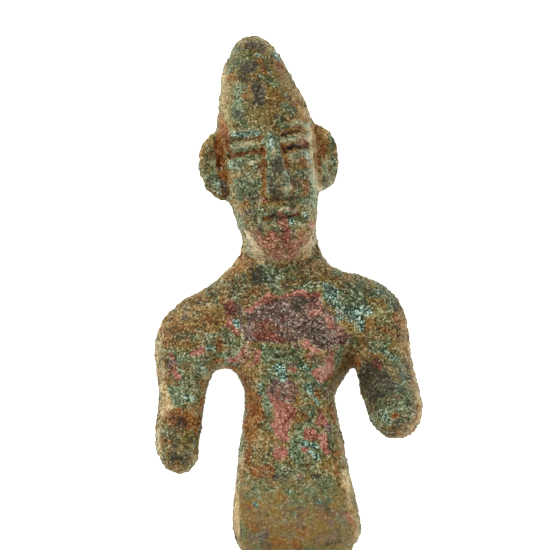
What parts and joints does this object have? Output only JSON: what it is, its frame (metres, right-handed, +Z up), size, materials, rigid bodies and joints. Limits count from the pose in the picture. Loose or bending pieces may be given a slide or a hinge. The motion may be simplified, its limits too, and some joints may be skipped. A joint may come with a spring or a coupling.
{
  "type": "bronze idol figurine",
  "caption": "Small cast bronze idol in a pointed cap and flared kilt, with cupped ears and stub arms held forward, lying on its back; a votive figure to lay in a case, tray or scene.",
  "frame": {"origin": "centre of the footprint, on the surface that the idol's back lies on", "axes": "+X towards the idol's own left, +Y from its feet to the tip of its cap, +Z up, out of its front"},
  "size_m": [0.033, 0.081, 0.0175],
  "materials": {
    "patinated_bronze": "cast bronze under a dull, granular olive and green patina, with rust-brown in the recesses and bare copper-red patches on the chest, belly and chin"
  },
  "bodies": {
    "root": {"idol": "patinated_bronze"}
  },
  "joints": []
}
